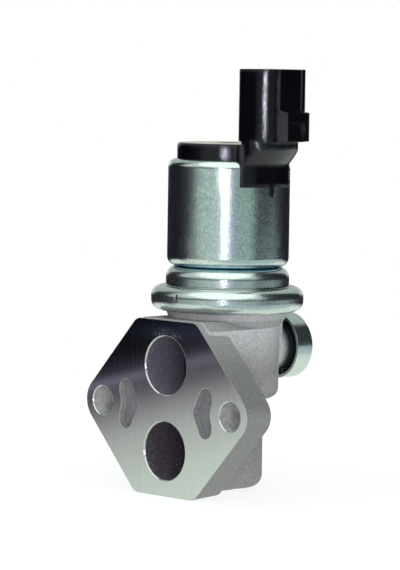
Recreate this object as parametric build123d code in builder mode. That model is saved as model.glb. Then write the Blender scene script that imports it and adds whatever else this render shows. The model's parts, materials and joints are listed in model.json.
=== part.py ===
"""Idle air control valve: a solenoid that lifts a poppet inside a cast body with two ports.

Millimetres, +Z along the solenoid. The origin is the middle of the mounting face, halfway between
the two bolt holes, and the face looks along minus Y.
"""
import os
from math import sqrt

from build123d import *

# Mounting flange
flange_half_height = 25.1
flange_corner_x = 10.5
flange_corner_radius = 4.0
flange_end_radius = 6.9
flange_thickness = 10.2
flange_draft = 3.6
flange_rear_round = 0.4
bolt_spacing = 52.4
bolt_hole_radius = 4.13
face_edge_break = 0.25

# Shallow cored pockets in the mounting face
pocket_depth = 1.6
pocket_lobe_radius = 2.6
pocket_bolt_offset = 9.8
pocket_lobe_height = 4.5
pocket_tip_radius = 1.3
pocket_tip_reach = 3.7
pocket_bolt_land = 3.75

# Ports and chambers of the casting
axis_depth = 24.0
port_rise = 12.18
port_radius = 8.33
port_inner_radius = 7.0
upper_half_width = 15.1
upper_bottom = 1.9
upper_side_bevel = 2.9
upper_side_bevel_height = 2.5
upper_bottom_round = 3.0
lower_half_width = 10.8
lower_bottom = -24.0
lower_bottom_round = 3.6
casting_wall = 3.0
web_half_thickness = 2.4

# Neck of the casting, held by the rolled rim
neck_bottom = 22.6
neck_foot_taper = 1.9
neck_flare = 0.8
neck_flare_height = 2.0
neck_lip_gap = 0.5
skirt_half_width = 8.0
skirt_inset = 0.15
skirt_bottom = 16.5

# Vent boss and its cap at the back
vent_height = 15.7
vent_boss_radius = 7.0
vent_bore_radius = 1.5
vent_rib_width = 2.2
vent_rib_reach = 3.6
vent_rib_length = 3.4
vent_rib_count = 4
vent_end_gap = 0.8
filter_radius = 4.8
filter_length = 3.6
cap_radius = 9.6
cap_wall = 0.8
cap_length = 6.5
cap_back = 50.2
cap_edge_round = 0.9

# Rolled rim and collar
rim_bottom = 27.0
rim_height = 7.0
rim_step = 4.2
rim_round = 2.9
rim_lip_turn = 3.7
collar_height = 5.7
collar_radius = 17.7
collar_round = 3.2
collar_foot_round = 0.5
collar_wall = 1.4

# Solenoid can
can_height = 30.7
can_radius = 17.5
can_wall = 1.2
can_shoulder = 2.3
can_lip = 2.5
can_foot_round = 2.7
notch_margin = 0.71
notch_depth = 7.5
key_slot_width = 2.2
key_slot_length = 2.7

# Plug with its disc and connector tower
disc_height = 4.6
disc_edge_break = 0.5
tower_inset = 0.6
tower_width = 14.0
tower_length = 18.3
tower_corner_radius = 5.0
tower_lift = 0.9
tower_height = 21.3
neck_back_inset = 1.0
neck_front_inset = 2.5
filler_corner_round = 0.9
filler_drop = 0.3
slope_foot_drop = 1.2
slope_head_drop = 1.2
socket_wall = 1.4
socket_depth = 16.5
rail_half_width = 5.0
rail_reach = 0.25
latch_half_width = 4.43
latch_reach = 3.5
latch_base = 0.9
latch_height = 8.9
latch_slope = 0.6
latch_recess_half_width = 2.6
latch_recess_height = 4.8
latch_recess_depth = 0.8

# Terminals
terminal_spacing = 6.0
terminal_thickness = 0.8
terminal_width = 1.8
terminal_foot_gap = 1.4
terminal_foot_height = 3.6
terminal_jog_height = 4.0
terminal_reach = 10.0
terminal_point = 0.25

# Coil
washer_thickness = 0.4
washer_width = 3.0
bobbin_clearance = 1.2
bobbin_flange_thickness = 1.2
bobbin_wall = 1.0
winding_sink = 1.7
tape_thickness = 0.35

# Magnetic circuit
armature_radius = 5.0
armature_length = 13.3
armature_base = 36.2
sleeve_wall = 0.4
sleeve_length = 23.0
sleeve_seat_depth = 3.3
sleeve_seal_section = 1.6
core_plate_thickness = 2.6
core_plate_flat_depth = 3.6
core_head = 2.0
core_spring_bore_length = 7.0
shim_thickness = 0.3
stop_thickness = 0.6

# Rod guide under the collar
hub_radius = 6.0
hub_length = 5.6
bush_radius = 3.5
bush_length = 7.6

# Valve and rod
valve_lift = 3.5
rod_radius = 1.75
rod_spigot_radius = 1.2
rod_grip = 5.8
poppet_overlap = 2.0
poppet_thickness = 1.6
poppet_hub_radius = 3.3
poppet_hub_length = 4.0
poppet_bevel = 0.8
seal_thickness = 0.9
seal_margin = 0.4
clip_radius = 2.7
clip_thickness = 0.7
rod_tail = 0.5

# Seat insert
seat_bore_radius = 5.6
seat_wall = 1.4
seat_flange_width = 2.0
seat_flange_thickness = 1.0
seat_lip_width = 0.8
seat_lip_height = 0.5
seat_depth = 4.0

# Return spring and its adjuster
spring_wire = 0.5
spring_mean_radius = 1.85
spring_turns = 5
spring_pocket_depth = 4.0
spring_pocket_radius = 2.6
adjuster_radius = 1.9
adjuster_length = 9.0
adjuster_slot_width = 0.7
adjuster_slot_depth = 0.9
plug_radius = 3.3
plug_thickness = 3.0
plug_sink = 0.6

# Body seal in the top of the casting
body_seal_width = 1.7
body_seal_height = 1.5
body_seal_land = 0.1

# Clearances
press_gap = 0.02
slide_gap = 0.05
running_gap = 0.08
seat_gap = 0.05
lift_gap = 0.2

# Heights that follow from the stack
rim_top = rim_bottom + rim_height
collar_top = rim_top + collar_height
can_top = collar_top + can_height
disc_top = can_top + disc_height
tower_top = disc_top + tower_height
notch_bottom = can_top - notch_depth
key_slot_bottom = notch_bottom - key_slot_length
casting_top = rim_top - collar_wall
guide_plate_top = collar_top - collar_wall
can_floor = collar_top + can_wall
bobbin_bottom = can_floor + washer_thickness
bobbin_top = notch_bottom
core_plate_top = bobbin_top + core_plate_thickness
core_top = core_plate_top + core_head
seat_lip_top = web_half_thickness + seat_flange_thickness + seat_lip_height
seal_bottom = seat_lip_top + seat_gap
poppet_bottom = seal_bottom + seal_thickness
armature_top = armature_base + armature_length
shim_bottom = armature_top + valve_lift + lift_gap
core_bottom = shim_bottom + shim_thickness
sleeve_bottom = guide_plate_top - sleeve_seat_depth
spring_bottom = armature_top - spring_pocket_depth
core_spring_top = core_bottom + core_spring_bore_length
adjuster_tip = core_spring_top - slide_gap
socket_floor = tower_top - socket_depth

# Radii and widths that follow from a neighbour
rim_radius = collar_radius + rim_step
rim_lip_radius = rim_radius - rim_lip_turn
neck_flare_radius = rim_lip_radius - neck_lip_gap
neck_radius = neck_flare_radius - neck_flare
neck_foot_radius = neck_radius - neck_foot_taper
upper_chamber_radius = upper_half_width - casting_wall
lower_chamber_radius = lower_half_width - casting_wall
seat_radius = seat_bore_radius + seat_wall
poppet_radius = seat_bore_radius + poppet_overlap
can_inner_radius = can_radius - can_wall
disc_radius = can_radius - can_lip
bobbin_flange_radius = can_inner_radius - bobbin_clearance
winding_radius = bobbin_flange_radius - winding_sink
core_plate_flat_x = can_inner_radius - core_plate_flat_depth
terminal_foot_x = core_plate_flat_x + terminal_foot_gap
notch_half_width = tower_length / 2 + notch_margin
tower_x = can_radius - tower_inset
pocket_lobe_x = bolt_spacing / 2 - pocket_bolt_offset
pocket_tip_x = pocket_lobe_x - pocket_tip_reach
sleeve_inner_radius = armature_radius + running_gap
sleeve_outer_radius = sleeve_inner_radius + sleeve_wall
bobbin_bore_radius = sleeve_outer_radius + slide_gap
core_radius = sleeve_inner_radius - press_gap
clamp_radius = rim_radius - collar_wall - slide_gap
clamp_bevel = rim_round - collar_wall
body_seal_outer = clamp_radius - clamp_bevel - body_seal_land
body_seal_inner = body_seal_outer - body_seal_width

# Planes and axes
solenoid_axis = Axis((0, axis_depth, 0), (0, 0, 1))
section = Plane(origin=(0, axis_depth, 0), x_dir=(1, 0, 0), z_dir=(0, -1, 0))
face_plane = Plane(origin=(0, 0, 0), x_dir=(-1, 0, 0), z_dir=(0, 1, 0))


def level(height):
    """Plane square to the solenoid axis at a height above the flange centre."""
    return Plane(origin=(0, axis_depth, height), z_dir=(0, 0, 1))


def behind(depth, height=0.0):
    """Plane that looks rearward, at a depth behind the mounting face."""
    return Plane(origin=(0, depth, height), x_dir=(-1, 0, 0), z_dir=(0, 1, 0))


def turned(*corners, mode=Mode.ADD):
    """Adds a solid turned about the solenoid axis from (radius, height) corners."""
    with BuildSketch(section) as outline:
        with BuildLine():
            Polyline(*corners, close=True)
        make_face()
    revolve(outline.sketch, axis=solenoid_axis, mode=mode)


def ring(outer, inner, bottom, top, mode=Mode.ADD):
    """Adds a plain ring about the solenoid axis."""
    turned((inner, bottom), (outer, bottom), (outer, top), (inner, top), mode=mode)


def pressed_section(outer_path, outer_rounds, inner_path, inner_rounds):
    """Adds a shell turned from the outer and inner outline of a pressed sheet."""
    with BuildSketch(section) as sheet:
        with BuildLine():
            FilletPolyline(*outer_path, radius=outer_rounds)
            FilletPolyline(*inner_path, radius=inner_rounds)
            Line(outer_path[0], inner_path[0])
            Line(outer_path[-1], inner_path[-1])
        make_face()
    revolve(sheet.sketch, axis=solenoid_axis)


def pocket(side):
    """Sinks one face pocket: two lobes drawn to a tip, waisted round the bolt hole."""
    with BuildSketch(face_plane) as outline:
        with BuildLine():
            for end in (-1, 1):
                CenterArc((-side * pocket_lobe_x, end * pocket_lobe_height), pocket_lobe_radius, 0, 360)
            CenterArc((-side * pocket_tip_x, 0), pocket_tip_radius, 0, 360)
        make_hull()
        with Locations((-side * bolt_spacing / 2, 0)):
            Circle(bolt_hole_radius + pocket_bolt_land, mode=Mode.SUBTRACT)
    extrude(outline.sketch, amount=pocket_depth, mode=Mode.SUBTRACT)


# Six sided flange, drafted towards its rear
with BuildPart() as flange_blank:
    with BuildSketch(face_plane):
        with BuildLine():
            corner_height = flange_half_height - flange_corner_radius
            for side in (-1, 1):
                CenterArc((side * bolt_spacing / 2, 0), flange_end_radius, 0, 360)
                for end in (-1, 1):
                    CenterArc((side * flange_corner_x, end * corner_height), flange_corner_radius, 0, 360)
        make_hull()
    extrude(amount=flange_thickness, taper=flange_draft)
    fillet(edges().group_by(Axis.Y)[-1], flange_rear_round)

# Cast body: two stacked chambers behind the flange
with BuildPart() as valve_body:
    # Upper chamber block with a round back
    with BuildSketch(level(upper_bottom)):
        Circle(upper_half_width)
        with Locations((0, -axis_depth / 2)):
            Rectangle(2 * upper_half_width, axis_depth - flange_thickness / 2)
    extrude(amount=flange_half_height - upper_bottom)
    fillet(edges().group_by(Axis.Z)[0], upper_bottom_round)
    chamfer(
        edges().group_by(Axis.Z)[-1].filter_by(Axis.Y),
        length=upper_side_bevel,
        length2=upper_side_bevel_height,
        reference=faces().sort_by(Axis.Z)[-1],
    )
    # Lower chamber block
    with BuildSketch(level(lower_bottom)):
        Circle(lower_half_width)
        with Locations((0, -axis_depth / 2)):
            Rectangle(2 * lower_half_width, axis_depth - flange_thickness / 2)
    extrude(amount=upper_bottom + upper_bottom_round - lower_bottom)
    fillet(edges().group_by(Axis.Z)[0], lower_bottom_round)
    add(flange_blank.part)
    # Neck and the ring that the rolled rim grips
    turned(
        (0, neck_bottom),
        (neck_foot_radius, neck_bottom),
        (neck_radius, rim_bottom - neck_flare_height),
        (neck_flare_radius, rim_bottom),
        (neck_flare_radius, rim_bottom + collar_wall),
        (clamp_radius - clamp_bevel, rim_bottom + collar_wall),
        (clamp_radius, rim_bottom + collar_wall + clamp_bevel),
        (clamp_radius, casting_top - clamp_bevel),
        (clamp_radius - clamp_bevel, casting_top),
        (0, casting_top),
    )
    # Skirt from the neck down to the vent boss
    with BuildSketch(level(skirt_bottom)):
        Circle(neck_radius - skirt_inset)
        with Locations((0, neck_radius / 2)):
            Rectangle(2 * skirt_half_width, neck_radius, mode=Mode.INTERSECT)
    extrude(amount=rim_bottom - neck_flare_height - skirt_bottom)
    # Vent boss with the ribs that grip its cap
    cap_floor = cap_back - cap_wall
    with BuildSketch(behind(axis_depth, vent_height)):
        Circle(vent_boss_radius)
    extrude(amount=cap_floor - vent_end_gap - axis_depth)
    with BuildSketch(behind(cap_floor - vent_rib_length, vent_height)):
        with PolarLocations(cap_radius - vent_rib_reach / 2, vent_rib_count):
            Rectangle(vent_rib_reach, vent_rib_width)
        Circle(cap_radius - cap_wall - press_gap, mode=Mode.INTERSECT)
    extrude(amount=vent_rib_length)
    # Chambers, seat hole and ports
    ring(upper_chamber_radius, 0, web_half_thickness, casting_top, mode=Mode.SUBTRACT)
    ring(seat_radius + press_gap, 0, -web_half_thickness, web_half_thickness, mode=Mode.SUBTRACT)
    ring(lower_chamber_radius, 0, -port_rise - port_radius, -web_half_thickness, mode=Mode.SUBTRACT)
    with BuildSketch(behind(0, port_rise)):
        Circle(port_radius)
    extrude(amount=axis_depth, mode=Mode.SUBTRACT)
    with BuildSketch(behind(0, -port_rise)):
        Circle(port_radius)
    extrude(amount=flange_thickness, mode=Mode.SUBTRACT)
    with BuildSketch(behind(flange_thickness, -port_rise)):
        Circle(port_radius)
    with BuildSketch(behind(axis_depth, -port_rise)):
        Circle(port_inner_radius)
    loft(mode=Mode.SUBTRACT)
    # Vent passage and the seat of its filter
    with BuildSketch(behind(axis_depth, vent_height)):
        Circle(vent_bore_radius)
    extrude(amount=cap_back - axis_depth, mode=Mode.SUBTRACT)
    with BuildSketch(behind(cap_floor - vent_end_gap - filter_length, vent_height)):
        Circle(filter_radius + slide_gap)
    extrude(amount=filter_length + vent_end_gap, mode=Mode.SUBTRACT)
    # Groove of the body seal
    ring(body_seal_outer, body_seal_inner, casting_top - body_seal_height, casting_top, mode=Mode.SUBTRACT)
    # Bolt holes and face pockets
    with BuildSketch(face_plane):
        with Locations((-bolt_spacing / 2, 0), (bolt_spacing / 2, 0)):
            Circle(bolt_hole_radius)
    extrude(amount=flange_thickness, mode=Mode.SUBTRACT)
    mouths = edges().group_by(Axis.Y)[0].filter_by(GeomType.CIRCLE).sort_by(SortBy.RADIUS)
    chamfer([edge for edge in mouths if edge.is_closed], face_edge_break)
    for side in (-1, 1):
        pocket(side)

# Pressed in seat between the chambers
with BuildPart() as valve_seat:
    turned(
        (seat_bore_radius, web_half_thickness - seat_depth),
        (seat_radius, web_half_thickness - seat_depth),
        (seat_radius, web_half_thickness),
        (seat_radius + seat_flange_width, web_half_thickness),
        (seat_radius + seat_flange_width, web_half_thickness + seat_flange_thickness),
        (seat_bore_radius + seat_lip_width, web_half_thickness + seat_flange_thickness),
        (seat_bore_radius + seat_lip_width, seat_lip_top),
        (seat_bore_radius, seat_lip_top),
    )

# Poppet that closes on the seat
with BuildPart() as poppet:
    turned(
        (rod_spigot_radius + press_gap, poppet_bottom),
        (poppet_radius - poppet_bevel, poppet_bottom),
        (poppet_radius, poppet_bottom + poppet_bevel),
        (poppet_radius, poppet_bottom + poppet_thickness),
        (poppet_hub_radius, poppet_bottom + poppet_thickness + poppet_bevel),
        (poppet_hub_radius, poppet_bottom + poppet_hub_length),
        (rod_spigot_radius + press_gap, poppet_bottom + poppet_hub_length),
    )

# Rubber face of the poppet
with BuildPart() as poppet_seal:
    ring(poppet_radius - seal_margin, clip_radius + seal_margin, seal_bottom, poppet_bottom)

# Clip that holds the poppet on the rod
with BuildPart() as rod_clip:
    ring(clip_radius, rod_spigot_radius + press_gap, poppet_bottom - clip_thickness, poppet_bottom)

# Valve rod with a thin lower end
with BuildPart() as valve_rod:
    turned(
        (0, poppet_bottom - clip_thickness - rod_tail),
        (rod_spigot_radius, poppet_bottom - clip_thickness - rod_tail),
        (rod_spigot_radius, poppet_bottom + poppet_hub_length),
        (rod_radius, poppet_bottom + poppet_hub_length),
        (rod_radius, armature_base + rod_grip),
        (0, armature_base + rod_grip),
    )

# Armature with a spring pocket on top
with BuildPart() as armature:
    ring(armature_radius, 0, armature_base, armature_top)
    ring(rod_radius + press_gap, 0, armature_base, armature_base + rod_grip, mode=Mode.SUBTRACT)
    ring(spring_pocket_radius, 0, spring_bottom, armature_top, mode=Mode.SUBTRACT)
    chamfer(edges().filter_by(GeomType.CIRCLE).sort_by(SortBy.RADIUS)[-2:], running_gap * 4)

# Lower plate with the hub that carries the rod bush
with BuildPart() as guide_plate:
    turned(
        (bush_radius + press_gap, casting_top - hub_length),
        (hub_radius, casting_top - hub_length),
        (hub_radius, casting_top),
        (collar_radius - collar_wall - slide_gap, casting_top),
        (collar_radius - collar_wall - slide_gap, guide_plate_top - collar_round + collar_wall),
        (collar_radius - collar_round - slide_gap, guide_plate_top),
        (sleeve_outer_radius + sleeve_seal_section, guide_plate_top),
        (sleeve_outer_radius + sleeve_seal_section, guide_plate_top - sleeve_seal_section),
        (sleeve_outer_radius + press_gap, guide_plate_top - sleeve_seal_section),
        (sleeve_outer_radius + press_gap, sleeve_bottom),
        (bush_radius + press_gap, sleeve_bottom),
    )

# Bush that the rod slides in
with BuildPart() as guide_bush:
    ring(
        bush_radius,
        rod_radius + slide_gap,
        sleeve_bottom - bush_length,
        sleeve_bottom,
    )

# Washer that softens the bottom end of the stroke
with BuildPart() as stop_washer:
    ring(
        armature_radius - slide_gap,
        rod_radius + stop_thickness,
        sleeve_bottom,
        sleeve_bottom + stop_thickness,
    )

# Small square seal round the sleeve
with BuildPart() as sleeve_seal:
    ring(
        sleeve_outer_radius + sleeve_seal_section - press_gap,
        sleeve_outer_radius + press_gap,
        guide_plate_top - sleeve_seal_section + press_gap,
        guide_plate_top - press_gap,
    )

# Flat seal between the casting and the collar
with BuildPart() as body_seal:
    ring(
        body_seal_outer - press_gap,
        body_seal_inner + press_gap,
        casting_top - body_seal_height + press_gap,
        casting_top - press_gap,
    )

# Collar and rim pressed from one sheet and rolled under the neck of the casting
with BuildPart() as crimp_collar:
    pressed_section(
        (
            (sleeve_outer_radius + press_gap, collar_top),
            (collar_radius, collar_top),
            (collar_radius, rim_top),
            (rim_radius, rim_top),
            (rim_radius, rim_bottom),
            (rim_lip_radius, rim_bottom),
        ),
        (collar_round, collar_foot_round, rim_round, rim_round),
        (
            (sleeve_outer_radius + press_gap, guide_plate_top),
            (collar_radius - collar_wall, guide_plate_top),
            (collar_radius - collar_wall, casting_top),
            (rim_radius - collar_wall, casting_top),
            (rim_radius - collar_wall, rim_bottom + collar_wall),
            (rim_lip_radius, rim_bottom + collar_wall),
        ),
        (collar_round - collar_wall, collar_foot_round, rim_round - collar_wall, rim_round - collar_wall),
    )

# Tube that the armature slides in
with BuildPart() as guide_sleeve:
    ring(sleeve_outer_radius, sleeve_inner_radius, sleeve_bottom, sleeve_bottom + sleeve_length)

# Spring washer under the bobbin, inside the foot round of the can
with BuildPart() as bobbin_washer:
    washer_radius = can_inner_radius - (can_foot_round - can_wall) - slide_gap
    ring(washer_radius, washer_radius - washer_width, can_floor, bobbin_bottom)

# Bobbin
with BuildPart() as coil_bobbin:
    turned(
        (bobbin_bore_radius, bobbin_bottom),
        (bobbin_flange_radius, bobbin_bottom),
        (bobbin_flange_radius, bobbin_bottom + bobbin_flange_thickness),
        (bobbin_bore_radius + bobbin_wall, bobbin_bottom + bobbin_flange_thickness),
        (bobbin_bore_radius + bobbin_wall, bobbin_top - bobbin_flange_thickness),
        (bobbin_flange_radius, bobbin_top - bobbin_flange_thickness),
        (bobbin_flange_radius, bobbin_top),
        (bobbin_bore_radius, bobbin_top),
    )

# Copper winding
with BuildPart() as coil_winding:
    ring(
        winding_radius,
        bobbin_bore_radius + bobbin_wall,
        bobbin_bottom + bobbin_flange_thickness,
        bobbin_top - bobbin_flange_thickness,
    )

# Tape over the winding
with BuildPart() as coil_tape:
    ring(
        winding_radius + tape_thickness,
        winding_radius,
        bobbin_bottom + bobbin_flange_thickness,
        bobbin_top - bobbin_flange_thickness,
    )

# Fixed core with the bore of the spring
with BuildPart() as pole_core:
    ring(core_radius, 0, core_bottom, core_top)
    ring(spring_pocket_radius, 0, core_bottom, core_spring_top, mode=Mode.SUBTRACT)
    ring(adjuster_radius + press_gap, 0, core_spring_top, core_top, mode=Mode.SUBTRACT)

# Thin brass ring that keeps the armature off the core
with BuildPart() as pole_shim:
    ring(core_radius, spring_pocket_radius, shim_bottom, core_bottom)

# Plate that closes the can magnetically, flat where the terminals pass
with BuildPart() as core_plate:
    ring(can_inner_radius - slide_gap, core_radius + press_gap, bobbin_top, core_plate_top)
    with BuildSketch(level(bobbin_top)):
        with Locations((core_plate_flat_x, 0)):
            Rectangle(can_radius, 2 * can_radius, align=(Align.MIN, Align.CENTER))
    extrude(amount=core_plate_thickness, mode=Mode.SUBTRACT)

# Screw that sets the spring, with a driver slot
with BuildPart() as adjuster_screw:
    adjuster_top = adjuster_tip + adjuster_length
    ring(adjuster_radius, 0, adjuster_tip, adjuster_top)
    with BuildSketch(level(adjuster_top)):
        Rectangle(2 * adjuster_radius, adjuster_slot_width)
    extrude(amount=-adjuster_slot_depth, mode=Mode.SUBTRACT)

# Return spring, a round wire helix between the armature and the adjuster
with BuildPart() as return_spring:
    spring_length = adjuster_tip - spring_bottom - spring_wire - 2 * slide_gap
    with BuildLine(level(spring_bottom + spring_wire / 2 + slide_gap)) as coil:
        Helix(pitch=spring_length / spring_turns, height=spring_length, radius=spring_mean_radius)
    with BuildSketch(Plane(origin=coil.line @ 0, z_dir=coil.line % 0)):
        Circle(spring_wire / 2)
    sweep(is_frenet=True)

# Plug that seals the adjuster bore
with BuildPart() as adjuster_plug:
    ring(plug_radius, 0, disc_top - plug_sink - plug_thickness, disc_top - plug_sink)

# Deep drawn can, notched for the connector
with BuildPart() as solenoid_can:
    lip_radius = disc_radius + slide_gap
    pressed_section(
        (
            (sleeve_outer_radius + press_gap, collar_top),
            (can_radius, collar_top),
            (can_radius, can_top),
            (lip_radius, can_top),
        ),
        (can_foot_round, can_shoulder),
        (
            (sleeve_outer_radius + press_gap, can_floor),
            (can_inner_radius, can_floor),
            (can_inner_radius, can_top - can_wall),
            (lip_radius, can_top - can_wall),
        ),
        (can_foot_round - can_wall, can_shoulder - can_wall),
    )
    with BuildSketch(level(notch_bottom)):
        Rectangle(2 * can_radius, 2 * notch_half_width, align=(Align.MIN, Align.CENTER))
    extrude(amount=can_top - notch_bottom, mode=Mode.SUBTRACT)
    key_plane = Plane(origin=(0, axis_depth, 0), x_dir=(0, 1, 0), z_dir=(1, 0, 0))
    with BuildSketch(key_plane):
        with Locations((0, key_slot_bottom + key_slot_width / 2)):
            Circle(key_slot_width / 2)
            Rectangle(key_slot_width, notch_bottom - key_slot_bottom, align=(Align.CENTER, Align.MIN))
    extrude(amount=2 * can_radius, mode=Mode.SUBTRACT)


def terminal_strip(side, foot, gap, mode=Mode.ADD):
    """Adds one terminal blade, jogged outward between the bobbin and the socket."""
    half = terminal_thickness / 2 + gap
    jog_start = bobbin_top + terminal_foot_height
    jog_end = jog_start + terminal_jog_height
    tip = socket_floor + terminal_reach
    strip_plane = section.offset(-side * terminal_spacing / 2)
    with BuildSketch(strip_plane) as strip:
        with BuildLine():
            Polyline(
                (terminal_foot_x - half, foot),
                (terminal_foot_x - half, jog_start + half / 2),
                (tower_x - half, jog_end + half / 2),
                (tower_x - half, tip - terminal_point),
                (tower_x - half + terminal_point, tip),
                (tower_x + half - terminal_point, tip),
                (tower_x + half, tip - terminal_point),
                (tower_x + half, jog_end - half / 2),
                (terminal_foot_x + half, jog_start - half / 2),
                (terminal_foot_x + half, foot),
                close=True,
            )
        make_face()
    extrude(strip.sketch, amount=terminal_width / 2 + gap, both=True, mode=mode)


# Black plastic plug: disc, keyed filler in the notch and connector tower in one moulding
with BuildPart() as connector_housing:
    plug_register = can_inner_radius - slide_gap
    under_lip = can_top - can_wall - slide_gap
    neck_half_length = notch_half_width - slide_gap
    tower_base = disc_top + tower_lift
    tower_front = tower_x + tower_width / 2
    # Neck of the tower, undercut by a cone that starts flush with the can
    neck_front = tower_front - neck_front_inset
    slope_foot = can_top - slope_foot_drop
    slope_head = disc_top - slope_head_drop
    with BuildSketch(level(slope_foot)):
        with Locations((tower_x + (neck_back_inset - neck_front_inset) / 2, 0)):
            RectangleRounded(
                tower_width - neck_back_inset - neck_front_inset,
                tower_length,
                tower_corner_radius,
            )
    extrude(amount=tower_base + tower_lift - slope_foot)
    turned(
        (can_radius, bobbin_top),
        (can_radius, slope_foot),
        (neck_front, slope_head),
        (2 * tower_front, slope_head),
        (2 * tower_front, bobbin_top),
        mode=Mode.SUBTRACT,
    )
    # Filler flush with the can, its upright corners rounded
    with BuildSketch(level(bobbin_top + slide_gap)):
        Circle(can_radius)
        with Locations((core_plate_flat_x + slide_gap, 0)):
            Rectangle(
                can_radius,
                2 * neck_half_length,
                align=(Align.MIN, Align.CENTER),
                mode=Mode.INTERSECT,
            )
        fillet(vertices().sort_by(Axis.X)[-2:], filler_corner_round)
    extrude(amount=disc_top - filler_drop - bobbin_top - slide_gap)
    # Key that drops into the slot of the can
    with BuildSketch(key_plane.offset(can_inner_radius - can_wall / 2)):
        with Locations((0, key_slot_bottom + key_slot_width / 2)):
            Circle(key_slot_width / 2 - slide_gap)
            Rectangle(
                key_slot_width - 2 * slide_gap,
                notch_bottom - key_slot_bottom,
                align=(Align.CENTER, Align.MIN),
            )
    extrude(amount=can_wall * 1.5 - slide_gap)
    # Disc and the register under the rolled lip
    register_bevel = can_shoulder - can_wall
    turned(
        (0, core_plate_top),
        (plug_register, core_plate_top),
        (plug_register, under_lip - register_bevel),
        (disc_radius, under_lip),
        (disc_radius, disc_top - disc_edge_break),
        (disc_radius - disc_edge_break, disc_top),
        (0, disc_top),
    )
    # Tower
    with BuildSketch(level(tower_base)):
        with Locations((tower_x, 0)):
            RectangleRounded(tower_width, tower_length, tower_corner_radius)
        with Locations((tower_x, 0)):
            Rectangle(
                tower_width / 2 + rail_reach,
                2 * rail_half_width,
                align=(Align.MIN, Align.CENTER),
            )
    extrude(amount=tower_top - tower_base)
    # Latch lug with a shallow recess
    latch_bottom = disc_top + latch_base
    latch_tip = tower_front + latch_reach
    with BuildSketch(section):
        with BuildLine():
            Polyline(
                (tower_x + tower_width / 4, latch_bottom),
                (tower_front, latch_bottom),
                (latch_tip, latch_bottom + latch_slope / 2),
                (latch_tip, latch_bottom + latch_height - latch_slope),
                (tower_front, latch_bottom + latch_height),
                (tower_x + tower_width / 4, latch_bottom + latch_height),
                close=True,
            )
        make_face()
    extrude(amount=latch_half_width, both=True)
    with BuildSketch(key_plane.offset(latch_tip)):
        with Locations((0, latch_bottom + latch_slope)):
            Rectangle(
                2 * latch_recess_half_width,
                latch_recess_height,
                align=(Align.CENTER, Align.MIN),
            )
    extrude(amount=-latch_recess_depth, mode=Mode.SUBTRACT)
    # Socket
    with BuildSketch(level(socket_floor)):
        with Locations((tower_x, 0)):
            RectangleRounded(
                tower_width - 2 * socket_wall,
                tower_length - 2 * socket_wall,
                tower_corner_radius - socket_wall,
            )
    extrude(amount=socket_depth, mode=Mode.SUBTRACT)
    # Bores for the core, the adjuster and its plug
    ring(core_radius + slide_gap, 0, core_plate_top, core_top + slide_gap, mode=Mode.SUBTRACT)
    ring(adjuster_radius + slide_gap, 0, core_top, disc_top, mode=Mode.SUBTRACT)
    ring(plug_radius + press_gap, 0, disc_top - plug_sink - plug_thickness, disc_top, mode=Mode.SUBTRACT)
    for side in (-1, 1):
        terminal_strip(side, bobbin_top, press_gap, mode=Mode.SUBTRACT)

# Filter disc in the end of the vent boss
with BuildPart() as vent_filter:
    with BuildSketch(behind(cap_floor - vent_end_gap - filter_length, vent_height)):
        Circle(filter_radius)
    extrude(amount=filter_length)

# Cup that shields the vent, open towards the casting
with BuildPart() as vent_cap:
    with BuildSketch(behind(cap_back, vent_height)):
        Circle(cap_radius)
    extrude(amount=-cap_length)
    fillet(edges().group_by(Axis.Y)[-1], cap_edge_round)
    offset(amount=-cap_wall, openings=faces().sort_by(Axis.Y)[0])

terminals = {}
for terminal_name, side in (("terminal_front", -1), ("terminal_rear", 1)):
    with BuildPart() as terminal:
        terminal_strip(side, bobbin_top, 0)
    terminals[terminal_name] = terminal

pieces = {
    "valve_body": valve_body,
    "valve_seat": valve_seat,
    "poppet": poppet,
    "poppet_seal": poppet_seal,
    "rod_clip": rod_clip,
    "valve_rod": valve_rod,
    "armature": armature,
    "guide_plate": guide_plate,
    "guide_bush": guide_bush,
    "stop_washer": stop_washer,
    "sleeve_seal": sleeve_seal,
    "body_seal": body_seal,
    "crimp_collar": crimp_collar,
    "guide_sleeve": guide_sleeve,
    "bobbin_washer": bobbin_washer,
    "coil_bobbin": coil_bobbin,
    "coil_winding": coil_winding,
    "coil_tape": coil_tape,
    "pole_core": pole_core,
    "pole_shim": pole_shim,
    "core_plate": core_plate,
    "adjuster_screw": adjuster_screw,
    "return_spring": return_spring,
    "adjuster_plug": adjuster_plug,
    "solenoid_can": solenoid_can,
    "connector_housing": connector_housing,
    "vent_filter": vent_filter,
    "vent_cap": vent_cap,
    **terminals,
}

os.makedirs("parts", exist_ok=True)
for piece_name, piece in pieces.items():
    piece.part.label = piece_name
    export_step(piece.part, f"parts/{piece_name}.step")
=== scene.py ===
"""Looks of the idle air control valve: zinc plated pressings, a sand textured casting and black plastic."""
import json
import math

import bpy
from mathutils import Matrix, Vector


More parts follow.
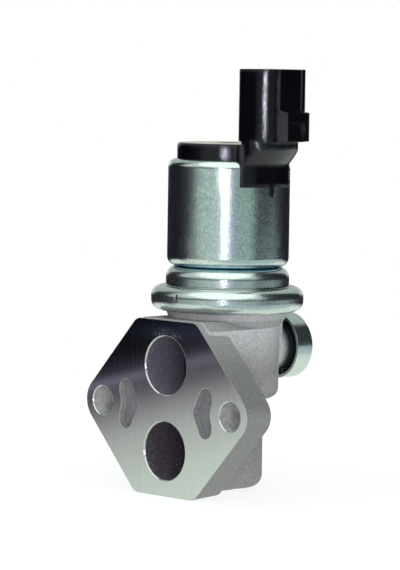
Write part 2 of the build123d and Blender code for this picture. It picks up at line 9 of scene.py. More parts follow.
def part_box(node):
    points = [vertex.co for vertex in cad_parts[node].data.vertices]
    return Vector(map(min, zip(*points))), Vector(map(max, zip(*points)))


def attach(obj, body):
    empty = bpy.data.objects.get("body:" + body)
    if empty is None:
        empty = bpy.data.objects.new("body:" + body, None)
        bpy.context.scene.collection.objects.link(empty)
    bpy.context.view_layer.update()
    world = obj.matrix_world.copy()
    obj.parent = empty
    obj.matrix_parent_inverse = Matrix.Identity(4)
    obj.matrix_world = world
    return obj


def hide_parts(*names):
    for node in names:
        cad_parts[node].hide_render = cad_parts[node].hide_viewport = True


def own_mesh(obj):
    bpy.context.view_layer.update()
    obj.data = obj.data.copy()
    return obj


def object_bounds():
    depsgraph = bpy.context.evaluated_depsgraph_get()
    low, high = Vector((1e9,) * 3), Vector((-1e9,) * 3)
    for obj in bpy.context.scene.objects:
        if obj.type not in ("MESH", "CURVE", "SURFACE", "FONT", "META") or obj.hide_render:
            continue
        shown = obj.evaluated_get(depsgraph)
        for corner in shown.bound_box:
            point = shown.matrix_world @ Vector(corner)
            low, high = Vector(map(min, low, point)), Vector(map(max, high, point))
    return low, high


MM = 0.001
WHITE = (1.0, 1.0, 1.0)
METAL = 1.0
NOT_METAL = 0.0

# The camera that the photograph was taken with, solved from the edges of the flange and the rings
IMAGE_HEIGHT = 570
SENSOR_WIDTH = 36.0
CAMERA_AZIMUTH = 46.12
CAMERA_ELEVATION = 4.30
CAMERA_ROLL = 0.87
CAMERA_DISTANCE = 926.25 * MM
FOCAL_PIXELS = 3220.38
TARGET_RIGHT = -7.89 * MM
TARGET_HEIGHT = 33.98 * MM

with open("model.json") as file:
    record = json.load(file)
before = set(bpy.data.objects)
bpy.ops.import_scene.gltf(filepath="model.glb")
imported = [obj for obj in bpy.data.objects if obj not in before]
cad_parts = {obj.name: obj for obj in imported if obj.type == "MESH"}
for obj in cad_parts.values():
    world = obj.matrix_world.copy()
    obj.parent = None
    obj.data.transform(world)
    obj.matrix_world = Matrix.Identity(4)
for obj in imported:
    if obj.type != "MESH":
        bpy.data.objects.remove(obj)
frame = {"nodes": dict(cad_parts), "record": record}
cad_low, cad_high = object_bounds()
FLOOR_HEIGHT = cad_low.z


def middle(node):
    """Middle of a node's box."""
    low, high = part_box(node)
    return (Vector(low) + Vector(high)) / 2


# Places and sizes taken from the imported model, apart from the height of the widest ring
MOUNTS = {mount["name"]: mount for mount in frame["record"]["mounts"]}
PORT_RADIUS = MOUNTS["upper_port"]["dims"]["r_mm"] * MM
BOLT_HOLE_RADIUS = MOUNTS["flange_bolts"]["dims"]["hole_r_mm"] * MM
SOLENOID_DEPTH = middle("guide_sleeve").y
CAN_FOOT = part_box("solenoid_can")[0][2]
RIM_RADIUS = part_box("crimp_collar")[1][0]
RIM_HEIGHT = 7.0 * MM
RIM_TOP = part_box("crimp_collar")[0][2] + RIM_HEIGHT


def steps_from(base, *steps):
    """Places along an axis, in metres, at steps in millimetres from a base in metres."""
    return [base + step * MM for step in steps]


class Nodes:
    """A small helper that adds and links shader nodes in one tree."""

    def __init__(self, tree):
        self.tree = tree
        tree.nodes.clear()

    def add(self, kind, inputs=None, **settings):
        """Adds a node, sets its properties and fills its inputs by name or number."""
        node = self.tree.nodes.new(kind)
        for name, value in settings.items():
            setattr(node, name, value)
        for name, value in (inputs or {}).items():
            self.put(node.inputs[name], value)
        return node

    def put(self, socket, value):
        """Links a socket to an input, or writes a plain value into it, a colour as its three parts."""
        if isinstance(value, bpy.types.NodeSocket):
            self.tree.links.new(value, socket)
        elif socket.type == "RGBA":
            socket.default_value = (*value, 1.0)
        else:
            socket.default_value = value

    def split(self, vector):
        """The three parts of a vector."""
        node = self.add("ShaderNodeSeparateXYZ", {"Vector": vector})
        return [node.outputs[axis] for axis in "XYZ"]

    def math(self, operation, *values):
        """Result of a math node on one, two or three values."""
        return self.add("ShaderNodeMath", dict(enumerate(values)), operation=operation).outputs[0]

    def times(self, first, *others):
        """Product of its values."""
        product = first
        for value in others:
            product = self.math("MULTIPLY", product, value)
        return product

    def one_less(self, value):
        """What is left of one when a value is taken away."""
        return self.math("SUBTRACT", 1.0, value)

    def weighted(self, *terms):
        """Sum of (value, weight) pairs."""
        total = 0.0
        for value, weight in terms:
            total = self.math("MULTIPLY_ADD", value, weight, total)
        return total

    def vector_math(self, operation, first, second):
        """Value of a vector math node, such as a dot product or a distance."""
        node = self.add("ShaderNodeVectorMath", {0: first, 1: second}, operation=operation)
        return node.outputs["Value"]

    def scaled(self, color, factor):
        """Colour made brighter or darker by a factor."""
        inputs = {0: color, "Scale": factor}
        return self.add("ShaderNodeVectorMath", inputs, operation="SCALE").outputs["Vector"]

    def between(self, value, low, high, to_low=0.0, to_high=1.0):
        """Value eased from to_low at low to to_high at high."""
        inputs = {"Value": value, "From Min": low, "From Max": high, "To Min": to_low, "To Max": to_high}
        node = self.add("ShaderNodeMapRange", inputs, interpolation_type="SMOOTHSTEP")
        return node.outputs["Result"]

    def window(self, value, start, full, fading, end):
        """One between full and fading, eased to nothing at start and end."""
        rise = self.between(value, start, full)
        fall = self.between(value, fading, end, 1.0, 0.0)
        return self.times(rise, fall)

    def blend(self, share, first, second):
        """Number between two numbers, which a mix node takes in its sockets 2 and 3."""
        inputs = {0: share, 2: first, 3: second}
        return self.add("ShaderNodeMix", inputs, data_type="FLOAT").outputs[0]

    def mix(self, share, first, second):
        """Colour between two colours, which a mix node takes in its sockets 6 and 7."""
        inputs = {0: share, 6: first, 7: second}
        return self.add("ShaderNodeMix", inputs, data_type="RGBA").outputs[2]

    def layered(self, color, *layers):
        """Colour with layers of (share, colour) laid over it, each over the ones before."""
        for share, layer in layers:
            color = self.mix(share, color, layer)
        return color

    def ramp(self, value, stops):
        """Colour ramp with stops of (position, colour)."""
        node = self.add("ShaderNodeValToRGB", {"Fac": value})
        elements = node.color_ramp.elements
        while len(elements) < len(stops):
            elements.new(0.5)
        for element, (position, color) in zip(elements, stops):
            element.position = position
            element.color = (*color, 1.0)
        return node.outputs["Color"]

    def noise(self, vector, cell, detail=3.0, roughness=0.5):
        """Noise value with cells of a size in metres."""
        inputs = {"Vector": vector, "Scale": 1.0 / cell, "Detail": detail, "Roughness": roughness}
        return self.add("ShaderNodeTexNoise", inputs).outputs["Fac"]

    def stretched(self, vector, factors, turn=(0.0, 0.0, 0.0)):
        """Coordinates turned, and scaled apart along each axis."""
        inputs = {"Vector": vector, "Scale": factors, "Rotation": turn}
        return self.add("ShaderNodeMapping", inputs).outputs["Vector"]

    def mix_shaders(self, share, first, second):
        """Shader between two shader nodes."""
        inputs = {0: share, 1: first.outputs[0], 2: second.outputs[0]}
        return self.add("ShaderNodeMixShader", inputs)

    def finish(self, kind, shader):
        """Ends the tree with a shader node in an output node of a kind."""
        self.add(kind, {"Surface": shader.outputs[0]})


class Surface:
    """One node material: its principled shader, its coordinates and its softened edges."""

    def __init__(self, name):
        self.material = bpy.data.materials.new(name)
        self.material.use_nodes = True
        self.nodes = Nodes(self.material.node_tree)
        self.shader = self.nodes.add("ShaderNodeBsdfPrincipled")
        self.nodes.finish("ShaderNodeOutputMaterial", self.shader)
        coordinates = self.nodes.add("ShaderNodeTexCoord")
        self.place = coordinates.outputs["Object"]
        self.x, self.y, self.z = self.nodes.split(self.place)
        _, self.facing_y, self.facing_z = self.nodes.split(coordinates.outputs["Normal"])

    def soften(self, radius):
        """Shades the edges as if they had a radius in metres, which may vary over the surface."""
        soft = self.nodes.add("ShaderNodeBevel", {"Radius": radius}, samples=4)
        self.soft_normal = soft.outputs["Normal"]

    def edges(self):
        """One along the softened edges and nothing on flat faces."""
        sharp_normal = self.nodes.add("ShaderNodeNewGeometry").outputs["Normal"]
        likeness = self.nodes.vector_math("DOT_PRODUCT", self.soft_normal, sharp_normal)
        return self.nodes.between(likeness, 0.985, 0.90)

    def set(self, **values):
        """Writes or links principled inputs, named with underscores for spaces."""
        for name, value in values.items():
            self.nodes.put(self.shader.inputs[name.replace("_", " ")], value)

    def relief(self, height, distance):
        """Raises the surface by a height field, distance in metres, over the softened edges."""
        inputs = {"Height": height, "Distance": distance, "Normal": self.soft_normal}
        self.set(Normal=self.nodes.add("ShaderNodeBump", inputs).outputs["Normal"])


def rim_nick(surface):
    """Depth of the small upright nick in the front of the widest ring."""
    turn = math.radians(3.8)
    height = 31.6 * MM
    squeeze = 0.5
    bottom = 5.0
    nick = (
        RIM_RADIUS * math.sin(turn),
        SOLENOID_DEPTH - RIM_RADIUS * math.cos(turn),
        height * squeeze,
    )
    squeezed = surface.nodes.stretched(surface.place, (1.0, 1.0, squeeze))
    away = surface.nodes.vector_math("DISTANCE", squeezed, nick)
    return surface.nodes.between(away, 0.15 * MM, 0.75 * MM, bottom, 0.0)


def plated_steel():
    """Bright zinc plating with fine crystals and drawing streaks; blue and darker in the groove under the
    can, partly a blue plating tint and partly painted shade, with a painted shade line at the top of the
    widest ring.
    """
    surface = Surface("zinc_plate")
    surface.soften(0.15 * MM)
    nodes = surface.nodes
    tall = nodes.stretched(surface.place, (1.0, 1.0, 0.4))
    taller = nodes.stretched(surface.place, (1.0, 1.0, 0.1))
    crystals = nodes.noise(tall, cell=0.42 * MM, detail=2.0, roughness=0.6)
    grain = nodes.noise(surface.place, cell=0.28 * MM, detail=1.0)
    streaks = nodes.noise(taller, cell=0.6 * MM, detail=2.0)
    clouds = nodes.noise(surface.place, cell=6.0 * MM, detail=4.0, roughness=0.6)

    # Painted shade and blue plating tint: darker and bluer in the groove under the can
    groove_shade_and_blue = nodes.window(surface.z, *steps_from(CAN_FOOT, -0.5, 0, 0.9, 1.5))
    # Painted shade: a dark line in the crease at the top of the widest ring
    painted_crease_shade = nodes.window(surface.z, *steps_from(RIM_TOP, -0.1, 0, 0.35, 0.7))
    color = nodes.layered(
        nodes.mix(nodes.between(clouds, 0.35, 0.65), (0.70, 0.75, 0.74), (0.80, 0.83, 0.82)),
        (nodes.between(crystals, 0.35, 0.7, 0.0, 0.5), (0.56, 0.62, 0.64)),
        (groove_shade_and_blue, (0.42, 0.60, 0.68)),
        (nodes.times(painted_crease_shade, 0.8), (0.20, 0.24, 0.25)),
    )

    rings = nodes.between(surface.z, *steps_from(CAN_FOOT, 0, -0.5))
    dull_band = nodes.window(surface.z, *steps_from(CAN_FOOT, 3.5, 6.5, 8.5, 12))
    dulling = nodes.times(dull_band, nodes.between(clouds, 0.4, 0.7, 0.0, 0.04))
    rough = nodes.between(crystals, 0.3, 0.7, 0.14, 0.23)
    rough = nodes.math("MULTIPLY_ADD", rings, 0.05, rough)
    rough = nodes.math("ADD", rough, dulling)
    surface.set(Base_Color=color, Metallic=METAL, Roughness=rough)

    height = nodes.weighted((crystals, 1.0), (grain, 0.4), (streaks, 0.3))
    height = nodes.times(height, nodes.blend(rings, 1.0, 0.4))
    height = nodes.math("SUBTRACT", height, rim_nick(surface))
    surface.relief(height, 0.032 * MM)
    return surface.material


def near_axis(surface, x, z):
    """Distance from a line along Y."""
    flat = surface.nodes.stretched(surface.place, (1.0, 0.0, 1.0))
    return surface.nodes.vector_math("DISTANCE", flat, (x, 0.0, z))


def inside_bore(surface, x, z, reach):
    """One within a reach of a line along Y, eased to nothing just past it."""
    return surface.nodes.between(near_axis(surface, x, z), *steps_from(reach, 0, 0.2), 1.0, 0.0)


def sand_skin(surface, grit):
    """Colour of the cast skin: pale at the boss, duller on flange and low block, with grain in it; painted
    light on the neck, painted shade on faces by how they face up or down, and a painted shadow under the
    cap.
    """
    nodes = surface.nodes
    patches = nodes.noise(surface.place, cell=9.0 * MM, detail=4.0, roughness=0.6)
    low_block = nodes.between(surface.z, -3 * MM, -6 * MM)
    flange = nodes.between(surface.y, 15 * MM, 12 * MM)
    # Painted light: the neck under the rim is painted much paler, standing in for light that reaches it
    neck_painted_light = nodes.between(surface.z, 10 * MM, 24 * MM)
    # Painted shade by facing: faces that look up, and less so faces that look down, are painted darker
    upper_faces_painted_shade = nodes.between(surface.facing_z, 0.0, 0.55, 0.0, 0.6)
    lower_faces_painted_shade = nodes.between(surface.facing_z, -0.1, -0.6, 0.0, 0.6)
    boss = nodes.between(surface.y, 32 * MM, 34 * MM)
    # Painted shadow: the boss turns near black where the cap shades it
    painted_cap_shadow = nodes.between(surface.y, 39.5 * MM, 43 * MM)
    skin = nodes.layered(
        nodes.mix(nodes.between(patches, 0.35, 0.65), (0.315, 0.290, 0.302), (0.370, 0.344, 0.352)),
        (nodes.math("MAXIMUM", low_block, flange), (0.295, 0.275, 0.288)),
        (neck_painted_light, (0.65, 0.615, 0.64)),
        (upper_faces_painted_shade, (0.155, 0.152, 0.147)),
        (lower_faces_painted_shade, (0.235, 0.220, 0.235)),
        (boss, (0.55, 0.54, 0.56)),
        (painted_cap_shadow, (0.012, 0.012, 0.018)),
    )
    return nodes.scaled(skin, nodes.between(grit, 0.30, 0.70, 0.74, 1.24))


def port_walls(surface, grit):
    """Layers of (share, colour) for the grainy walls of the two ports: painted shade in the bores, with
    paler specks as painted glints.
    """
    nodes = surface.nodes
    deep = nodes.window(surface.y, 0.3 * MM, 0.8 * MM, 29 * MM, 30 * MM)
    painted_glint_specks = nodes.between(grit, 0.50, 0.74)
    # Painted shade on the bore walls, darkest in the lower port, with painted glints in the paler colour
    walls = (
        ("upper_port", (0.125, 0.11, 0.15), (0.36, 0.34, 0.42)),
        ("lower_port", (0.062, 0.048, 0.064), (0.28, 0.26, 0.31)),
    )
    layers = []
    for port, dark, light in walls:
        x, _, z = MOUNTS[port]["pos_m"]
        inside = inside_bore(surface, x, z, PORT_RADIUS + 0.27 * MM)
        layers.append((nodes.times(inside, deep), nodes.mix(painted_glint_specks, dark, light)))
    return layers


def bolt_holes(surface):
    """One on the walls of the two bolt holes."""
    nodes = surface.nodes
    spacing = MOUNTS["flange_bolts"]["dims"]["spacing_x_mm"] * MM
    holes = 0.0
    for side in (-1, 1):
        hole = inside_bore(surface, side * spacing / 2, 0.0, BOLT_HOLE_RADIUS + 0.17 * MM)
        holes = nodes.math("MAXIMUM", holes, hole)
    return nodes.times(holes, nodes.between(surface.y, 0.3 * MM, 0.6 * MM))


def tool_marks(surface):
    """Short upright tool marks on the face, just above the upper port."""
    nodes = surface.nodes
    x, _, z = MOUNTS["upper_port"]["pos_m"]
    ring = nodes.window(near_axis(surface, x, z), *steps_from(PORT_RADIUS, 0.17, 0.47, 0.87, 3.87))
    top = nodes.between(nodes.math("SUBTRACT", surface.z, z), 7.4 * MM, 8.6 * MM)
    tall = nodes.stretched(surface.place, (1.0, 1.0, 0.12))
    strokes = nodes.noise(tall, cell=0.26 * MM, roughness=0.7)
    return nodes.times(ring, top, nodes.between(strokes, 0.46, 0.66))


def thread_turns(surface):
    """Uneven bands along Y, like the turns of a worn thread."""
    pitch = 3.2 * MM
    inputs = {"Vector": surface.place, "Scale": 1.0 / pitch, "Distortion": 3.0, "Detail": 3.0}
    bands = surface.nodes.add("ShaderNodeTexWave", inputs, wave_type="BANDS", bands_direction="Y")
    return bands.outputs["Fac"]


def cast_body():
    """Sand textured casting with a brushed mounting face, painted shade and painted glints in the bores,
    painted shade in the sunk pockets, and pale edges that are partly wear and partly painted highlight.
    """
    surface = Surface("casting")
    surface.soften(0.25 * MM)
    nodes = surface.nodes
    forward = nodes.between(surface.facing_y, -0.35, -0.60)
    machined = nodes.times(nodes.between(surface.y, 0.35 * MM, 0.5 * MM, 1.0, 0.0), forward)
    pockets = nodes.times(nodes.window(surface.y, 0.4 * MM, 0.6 * MM, 2.0 * MM, 2.2 * MM), forward)
    holes = bolt_holes(surface)
    edges = surface.edges()

    grit = nodes.noise(surface.place, cell=0.55 * MM, detail=4.0, roughness=0.75)
    scuffs = nodes.noise(surface.place, cell=2.4 * MM, detail=5.0, roughness=0.65)
    brushed = nodes.stretched(surface.place, (1.0, 1.0, 0.012), turn=(0.0, math.radians(2.5), 0.0))
    lines = nodes.noise(brushed, cell=0.32 * MM, roughness=0.7)
    hole_color = nodes.mix(nodes.between(scuffs, 0.40, 0.60), (0.36, 0.345, 0.355), (0.52, 0.50, 0.515))
    # Painted shade: the floors of the sunk pockets are painted darker
    pocket_painted_shade = nodes.mix(nodes.between(scuffs, 0.35, 0.65), (0.15, 0.142, 0.165), (0.20, 0.19, 0.215))
    face_color = nodes.mix(nodes.between(lines, 0.3, 0.7), (0.62, 0.63, 0.63), (0.69, 0.70, 0.69))
    color = nodes.layered(
        sand_skin(surface, grit),
        *port_walls(surface, grit),
        (holes, hole_color),
        (pockets, pocket_painted_shade),
        (machined, face_color),
        # Edges painted paler: partly worn metal, partly painted highlight where the edges catch the light
        (nodes.times(edges, 0.7), (0.58, 0.58, 0.60)),
    )

    sand_rough, edge_rough, mark_rough = 0.62, 0.6, 0.34
    line_rough = nodes.between(lines, 0.3, 0.7, 0.05, 0.09)
    face_rough = nodes.blend(tool_marks(surface), line_rough, mark_rough)
    surface.set(
        Base_Color=color,
        Metallic=nodes.times(machined, nodes.one_less(edges)),
        Roughness=nodes.blend(machined, sand_rough, nodes.blend(edges, face_rough, edge_rough)),
    )

    sand = nodes.times(grit, nodes.one_less(machined))
    brush = nodes.times(machined, 0.012, lines)
    thread = nodes.times(thread_turns(surface), holes)
    surface.relief(nodes.weighted((sand, 1.0), (brush, 1.0), (thread, 0.5)), 0.12 * MM)
    return surface.material


def black_plastic():
    """Glossy black moulding with a speckled skin, smooth on its upper faces, and dull beside the latch,
    where its sides are also painted lighter as painted light.
    """
    surface = Surface("black_plastic")
    nodes = surface.nodes
    wide_edge, latch_edge = 1.6 * MM, 0.2 * MM
    surface.soften(nodes.between(surface.x, 22.5 * MM, 23.5 * MM, wide_edge, latch_edge))
    sides = nodes.one_less(nodes.between(surface.facing_z, 0.7, 0.9))
    off_middle = nodes.math("ABSOLUTE", nodes.math("SUBTRACT", surface.y, SOLENOID_DEPTH))
    beside_latch = nodes.window(off_middle, 3.9 * MM, 4.3 * MM, 4.5 * MM, 4.9 * MM)
    # Painted light: the faces beside the latch are painted lighter, as if lit from the side, and made
    # duller
    latch_sides_painted_light = nodes.times(beside_latch, nodes.between(surface.x, 23.7 * MM, 24.1 * MM))

    tall = nodes.stretched(surface.place, (1.0, 1.0, 0.25))
    ripple = nodes.noise(tall, cell=2.5 * MM, detail=2.0)
    dust = nodes.noise(surface.place, cell=0.45 * MM, roughness=0.6)
    skin = nodes.mix(nodes.between(dust, 0.45, 0.8), (0.0012, 0.0006, 0.0012), (0.008, 0.005, 0.009))
    cheek_rough = 0.5
    surface.set(
        Base_Color=nodes.mix(latch_sides_painted_light, skin, (0.030, 0.025, 0.032)),
        Roughness=nodes.blend(latch_sides_painted_light, nodes.between(dust, 0.35, 0.75, 0.10, 0.17), cheek_rough),
        Specular_Tint=(0.93, 0.89, 1.0),
    )
    height = nodes.weighted((ripple, 0.3), (dust, 1.0))
    surface.relief(nodes.times(height, sides), 0.035 * MM)
    return surface.material


def plain(name, color, metallic, roughness, depth=0.01 * MM):
    """A material with slight mottling in colour, roughness and height."""
    grain = 0.4 * MM
    cloud = 20.0 * grain
    color_spread = 0.15
    rough_spread = 0.15
    surface = Surface(name)
    surface.soften(0.1 * MM)
    nodes = surface.nodes
    value = nodes.noise(surface.place, cell=grain)
    clouds = nodes.noise(surface.place, cell=cloud)
    dark = tuple(part * (1.0 - color_spread) for part in color)
    light = tuple(min(1.0, part * (1.0 + color_spread)) for part in color)
    smoother, rougher = roughness * (1.0 - rough_spread), roughness * (1.0 + rough_spread)
    surface.set(
        Base_Color=nodes.mix(nodes.between(clouds, 0.3, 0.7), dark, light),
        Metallic=metallic,
        Roughness=nodes.between(value, 0.3, 0.7, smoother, rougher),
    )
    surface.relief(value, depth)
    return surface.material


MATERIALS = {
    "cast_body": cast_body(),
    "plated_steel": plated_steel(),
    "black_plastic": black_plastic(),
    "magnet_steel": plain("magnet_steel", (0.50, 0.51, 0.52), METAL, 0.3),
    "stainless": plain("stainless", (0.62, 0.63, 0.64), METAL, 0.25),
    "brass": plain("brass", (0.72, 0.56, 0.30), METAL, 0.28),
    "bronze": plain("bronze", (0.56, 0.38, 0.22), METAL, 0.4),
    "copper_wire": plain("copper_wire", (0.62, 0.28, 0.12), METAL, 0.3),
    "bobbin_plastic": plain("bobbin_plastic", (0.05, 0.05, 0.05), NOT_METAL, 0.45),
    "tape": plain("tape", (0.65, 0.52, 0.22), NOT_METAL, 0.4),
    "seal_rubber": plain("seal_rubber", (0.025, 0.025, 0.025), NOT_METAL, 0.6),
    "poppet_metal": plain("poppet_metal", (0.62, 0.62, 0.62), METAL, 0.35),
    "filter_felt": plain("filter_felt", (0.55, 0.53, 0.48), NOT_METAL, 0.95, depth=0.1 * MM),
    "tinned_brass": plain("tinned_brass", (0.70, 0.70, 0.68), METAL, 0.25),
}

for part in frame["record"]["subparts"]:
    node = frame["nodes"][part["node"]]
    node.data.materials.clear()
    node.data.materials.append(MATERIALS[part["material_slot"]])


def make_spring():
    """Copy of the return spring with its own mesh, attached to the housing in place of the imported spring.
    """
    solid = frame["nodes"]["return_spring"]
    spring = bpy.data.objects.new("spring_coil", solid.data.copy())
    bpy.context.scene.collection.objects.link(spring)
    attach(spring, "housing")
    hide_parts("return_spring")
    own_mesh(spring)


def heading(turn, rise=0.0):
    """Direction at a turn round the object, nought at the camera and growing to its right, and a rise."""
    azimuth = math.radians(CAMERA_AZIMUTH + turn)
    level = Vector((math.sin(azimuth), -math.cos(azimuth), 0.0))
    return level * math.cos(math.radians(rise)) + Vector((0.0, 0.0, math.sin(math.radians(rise))))


def make_camera():
    """Camera at the photograph's place, with its lens and tilt."""
    roll = math.radians(CAMERA_ROLL)
    back = heading(0, CAMERA_ELEVATION)
    level_right = heading(90)
    level_up = back.cross(level_right)
    right = level_right * math.cos(roll) + level_up * math.sin(roll)
    up = level_up * math.cos(roll) - level_right * math.sin(roll)
    target = level_right * TARGET_RIGHT + Vector((0.0, SOLENOID_DEPTH, TARGET_HEIGHT))
    data = bpy.data.cameras.new("camera")
    data.sensor_fit = "AUTO"
    data.sensor_width = SENSOR_WIDTH
    data.lens = FOCAL_PIXELS * SENSOR_WIDTH / IMAGE_HEIGHT
    data.clip_start = 0.01
    data.clip_end = 50.0
    camera = bpy.data.objects.new("camera", data)
    bpy.context.scene.collection.objects.link(camera)
    turn = Matrix((right, up, back)).transposed().to_4x4()
    camera.matrix_world = Matrix.Translation(target + back * CAMERA_DISTANCE) @ turn
    bpy.context.scene.camera = camera


def studio_walls(nodes, angle):
    """Colour of the studio all round, by the angle in degrees from the camera's own direction."""
    left_dark = (0.014, 0.013, 0.021)
    left_dusk = (0.036, 0.040, 0.056)
    left_dawn = (0.12, 0.15, 0.16)
    left_panel = (0.62, 0.79, 0.73)
    left_glow = (0.74, 0.94, 0.87)
    key_glow = (1.0, 1.1, 1.2)
    gap = (0.44, 0.55, 0.67)
    right_panel = (0.40, 0.57, 0.50)
    right_dark = (0.028, 0.034, 0.038)
    stops = [
        (-180, left_dark),
        (-108, left_dark),
        (-82, left_dusk),
        (-71, left_dawn),
        (-61, left_panel),
        (-55, left_panel),
        (-46, left_glow),
        (-27, left_glow),
        (-15, key_glow),
        (0, key_glow),
        (10, gap),
        (20, right_panel),
        (41, right_panel),
        (54, right_dark),
        (92, right_dark),
        (130, left_dark),
        (180, left_dark),
    ]
    turn = nodes.math("MULTIPLY_ADD", angle, 1 / 360, 0.5)
    return nodes.ramp(turn, [(degrees / 360 + 0.5, color) for degrees, color in stops])


def make_world():
    """White for the camera, and for the object a studio with bright walls and ceiling and dark gaps."""
    world = bpy.data.worlds.new("studio")
    bpy.context.scene.world = world
    world.use_nodes = True
    nodes = Nodes(world.node_tree)
    direction = nodes.add("ShaderNodeTexCoord").outputs["Generated"]
    ahead = nodes.vector_math("DOT_PRODUCT", direction, heading(0))
    aside = nodes.vector_math("DOT_PRODUCT", direction, heading(90))
    height = nodes.split(direction)[2]
    angle = nodes.times(nodes.math("ARCTAN2", aside, ahead), math.degrees(1))
    rise = nodes.times(nodes.math("ARCSINE", height), math.degrees(1))

    left_slot = nodes.times(nodes.window(angle, -135, -125, -70, -60), nodes.between(rise, -4.3, -4.7))
    front_band = nodes.times(nodes.window(angle, -76, -66, 42, 52), nodes.between(rise, -1.8, -0.3))
    upper_panel = nodes.times(nodes.window(angle, -112, -96, 52, 70), nodes.between(rise, 10, 16))
    past_sides = nodes.math("MULTIPLY_ADD", rise, 0.8, nodes.math("ABSOLUTE", angle))
    behind = nodes.times(nodes.between(past_sides, 151, 160), nodes.between(rise, -1.8, -0.8))
    backdrop = nodes.mix(nodes.between(rise, 6, 14), (0.76, 0.79, 0.71), (0.42, 0.50, 0.46))
    ceiling = nodes.between(rise, 58, 70)
    toward_dome = nodes.vector_math("DOT_PRODUCT", direction, heading(-10, 57))
    dome_edge, dome_core = math.cos(math.radians(45)), math.cos(math.radians(39))
    sky = nodes.layered(
        studio_walls(nodes, angle),
        (left_slot, (0.004, 0.003, 0.005)),
        (front_band, (0.05, 0.065, 0.07)),
        (upper_panel, (0.60, 0.70, 0.66)),
        (behind, backdrop),
        (ceiling, (0.95, 1.1, 1.0)),
        (nodes.between(toward_dome, dome_edge, dome_core), (1.25, 1.4, 1.3)),
    )

    studio = nodes.add("ShaderNodeBackground", {"Color": sky})
    white = nodes.add("ShaderNodeBackground", {"Color": WHITE})
    camera_ray = nodes.add("ShaderNodeLightPath").outputs["Is Camera Ray"]
    nodes.finish("ShaderNodeOutputWorld", nodes.mix_shaders(camera_ray, studio, white))


def mirrored_floor(nodes, place, away, line_start, inward):
    """Colour of the floor in reflections, by its distance inward from the pale line."""
    across = nodes.vector_math("DOT_PRODUCT", place, (inward.x, inward.y, 0.0))
    reach = nodes.math("SUBTRACT", across, line_start.dot(inward))
    ring_radius = 0.32
    ring = nodes.math("MAXIMUM", reach, nodes.math("SUBTRACT", ring_radius, away))
    side = nodes.vector_math("DOT_PRODUCT", place, (-0.72, 1.0, 0.0))
    reach = nodes.blend(nodes.between(side, 0.01, 0.04), reach, ring)
    outside, inside = -0.08, 0.14
    pale_line = (0.26, 0.25, 0.34)
    levels = [
        (-80, (0.003, 0.003, 0.005)),
        (-42, (0.006, 0.005, 0.008)),
        (-20, (0.016, 0.013, 0.021)),
        (-5, (0.034, 0.030, 0.045)),
        (0, pale_line),
        (5, pale_line),
        (11, (0.085, 0.080, 0.105)),
        (28, (0.16, 0.155, 0.175)),
        (50, (0.35, 0.345, 0.355)),
        (75, (0.55, 0.58, 0.555)),
        (95, (0.64, 0.69, 0.64)),
        (115, (0.73, 0.82, 0.73)),
        (135, (0.80, 0.90, 0.80)),
    ]
    width = inside - outside
    stops = [((level * MM - outside) / width, color) for level, color in levels]
    shade = nodes.ramp(nodes.math("DIVIDE", nodes.math("SUBTRACT", reach, outside), width), stops)

    far = nodes.times(nodes.between(away, 0.30, 0.42), nodes.between(reach, 0.12, 0.18))
    from_patch = nodes.vector_math("DISTANCE", place, (-0.372, -0.367, FLOOR_HEIGHT))
    patch = nodes.between(from_patch, 0.016, 0.034, 1.0, 0.0)
    right_side = nodes.between(nodes.split(place)[0], 0.04, 0.10)
    return nodes.layered(
        shade,
        (far, (0.09, 0.11, 0.11)),
        (patch, (0.035, 0.043, 0.085)),
        (right_side, (0.46, 0.57, 0.59)),
    )


def floor_material(line_start, inward):
    """Pale paint that keeps the shadow near the object, glows white further out, and mirrors darker."""
    material = bpy.data.materials.new("floor")
    material.use_nodes = True
    nodes = Nodes(material.node_tree)
    place = nodes.add("ShaderNodeTexCoord").outputs["Object"]
    away = nodes.vector_math("DISTANCE", place, (0.0, SOLENOID_DEPTH, FLOOR_HEIGHT))
    shade = mirrored_floor(nodes, place, away, line_start, inward)
    mirrored = nodes.add("ShaderNodeEmission", {"Color": shade})
    paint = nodes.add("ShaderNodeBsdfDiffuse", {"Color": (0.85, 0.85, 0.85)})
    glow = nodes.add("ShaderNodeEmission", {"Color": WHITE, "Strength": 1.12})
    near_glow, far_glow = 0.76, 1.0
    glow_share = nodes.blend(nodes.between(away, 0.06, 0.12), near_glow, far_glow)
    seen = nodes.mix_shaders(glow_share, paint, glow)
    camera_ray = nodes.add("ShaderNodeLightPath").outputs["Is Camera Ray"]
    nodes.finish("ShaderNodeOutputMaterial", nodes.mix_shaders(camera_ray, mirrored, seen))
    return material


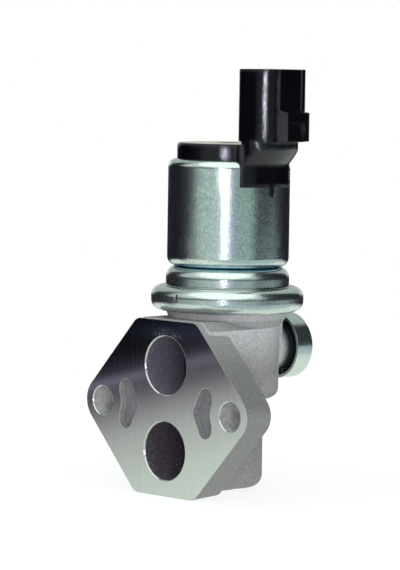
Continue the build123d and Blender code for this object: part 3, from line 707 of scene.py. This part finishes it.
def make_floor():
    """White floor; the mounting face mirrors it fading to dark past a pale line along its left edge."""
    line_start = Vector((-0.244, -0.203))
    along = Vector((-0.46, -0.97)).normalized()
    inward = Vector((-along.y, along.x))
    outer = line_start - inward * 0.12
    back_reach, front_reach = 0.65, 0.45
    corners = [
        outer - along * back_reach,
        outer + along * front_reach,
        Vector((0.60, -0.62)),
        Vector((0.60, 0.70)),
    ]
    mesh = bpy.data.meshes.new("floor")
    mesh.from_pydata([(x, y, FLOOR_HEIGHT) for x, y in corners], [], [tuple(range(len(corners)))])
    mesh.materials.append(floor_material(line_start, inward))
    floor = bpy.data.objects.new("floor", mesh)
    bpy.context.scene.collection.objects.link(floor)


def add_lamp(name, place, size, power, color, mirrored, aim_height=TARGET_HEIGHT, spread=180):
    """Soft lamp that looks at the object, seen in its gloss only if mirrored; spread is in degrees."""
    data = bpy.data.lights.new(name, "AREA")
    data.shape = "RECTANGLE"
    data.size, data.size_y = size
    data.energy = power
    data.color = color
    data.spread = math.radians(spread)
    lamp = bpy.data.objects.new(name, data)
    bpy.context.scene.collection.objects.link(lamp)
    aim = Vector((0.0, SOLENOID_DEPTH, aim_height))
    turn = (place - aim).to_track_quat("Z", "Y").to_matrix().to_4x4()
    lamp.matrix_world = Matrix.Translation(place) @ turn
    lamp.visible_camera = False
    lamp.visible_glossy = mirrored


def make_lamps():
    """A tall key for the line down the can, a wide fill, and a small narrow lamp for the tower's corner."""
    add_lamp(
        "key_strip",
        place=heading(-5.6) * 0.72 + Vector((0.0, 0.0, 0.042)),
        size=(0.042, 0.126),
        power=0.18,
        color=(0.93, 0.95, 1.0),
        mirrored=True,
    )
    add_lamp(
        "front_fill",
        place=heading(6) * 1.2 + Vector((0.0, 0.0, 0.04)),
        size=(0.5, 0.4),
        power=6.9,
        color=(1.0, 0.98, 1.0),
        mirrored=False,
    )
    add_lamp(
        "tower_strip",
        place=heading(-12) * 0.72 + Vector((0.0, 0.0, 0.080)),
        size=(0.09, 0.04),
        power=0.0040,
        color=(0.90, 0.95, 1.0),
        mirrored=True,
        aim_height=0.096,
        spread=3,
    )


make_spring()
make_camera()
make_world()
make_floor()
make_lamps()

bpy.context.scene.view_settings.view_transform = "Standard"
